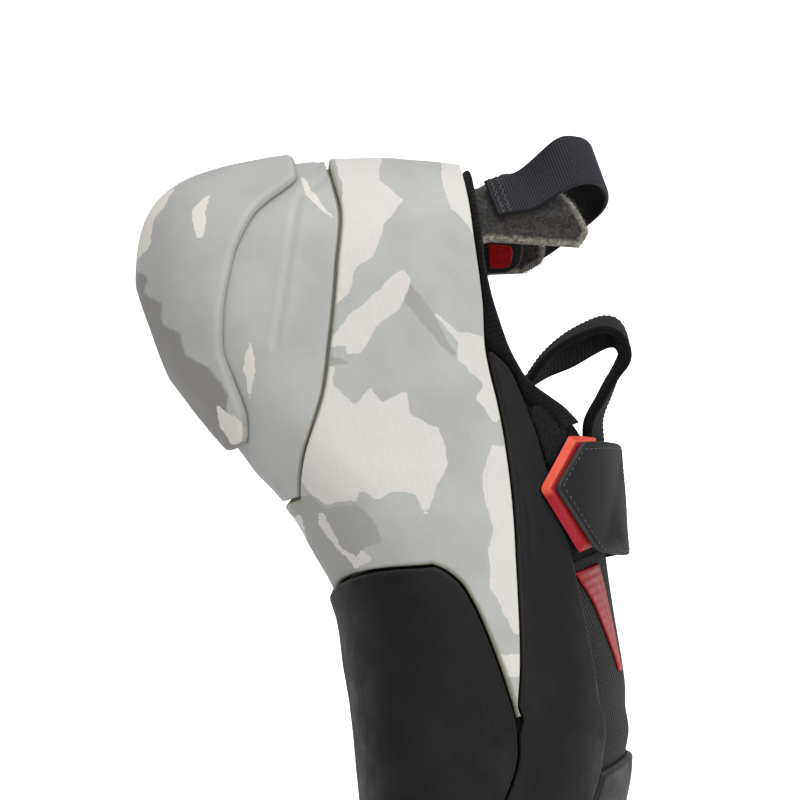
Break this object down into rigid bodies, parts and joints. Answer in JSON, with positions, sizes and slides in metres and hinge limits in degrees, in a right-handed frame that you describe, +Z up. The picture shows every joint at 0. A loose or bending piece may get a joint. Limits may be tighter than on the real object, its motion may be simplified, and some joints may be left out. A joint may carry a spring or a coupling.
{
  "type": "climbing shoe",
  "caption": "Right climbing shoe with downturned last, moulded heel cup, patterned heel rand, black forefoot rubber, one closure strap, folded tongue loop and webbing heel loop",
  "frame": {"origin": "centre of the heel's flat spot on the floor", "axes": "+Y to the toe, +Z up, +X to the outer (lateral) side of a right shoe"},
  "size_m": [0.095, 0.251, 0.1221],
  "materials": {
    "black_knit": "ribbed knit",
    "footbed": "brushed",
    "black_rubber": "matte",
    "grey_rubber": "satin",
    "patterned_rubber": "satin",
    "pile": "looped pile",
    "red_gloss": "glossy",
    "strap_weave": "ribbed weave",
    "red_moulded": "satin",
    "felt": "brushed",
    "webbing": "grosgrain"
  },
  "bodies": {
    "root": {"upper": "black_knit", "insole": "footbed", "outsole": "black_rubber", "heel_cup": "grey_rubber", "heel_sole": "grey_rubber", "rand_heel": "patterned_rubber", "rand_side": "black_rubber", "toe_patch": "black_rubber", "collar_binding": "black_knit", "loop_pad": "pile", "throat_stripe": "red_gloss", "tongue": "black_knit", "strap": "strap_weave", "strap_tab": "red_moulded", "heel_tab": "felt", "pull_loop": "webbing"}
  },
  "joints": []
}
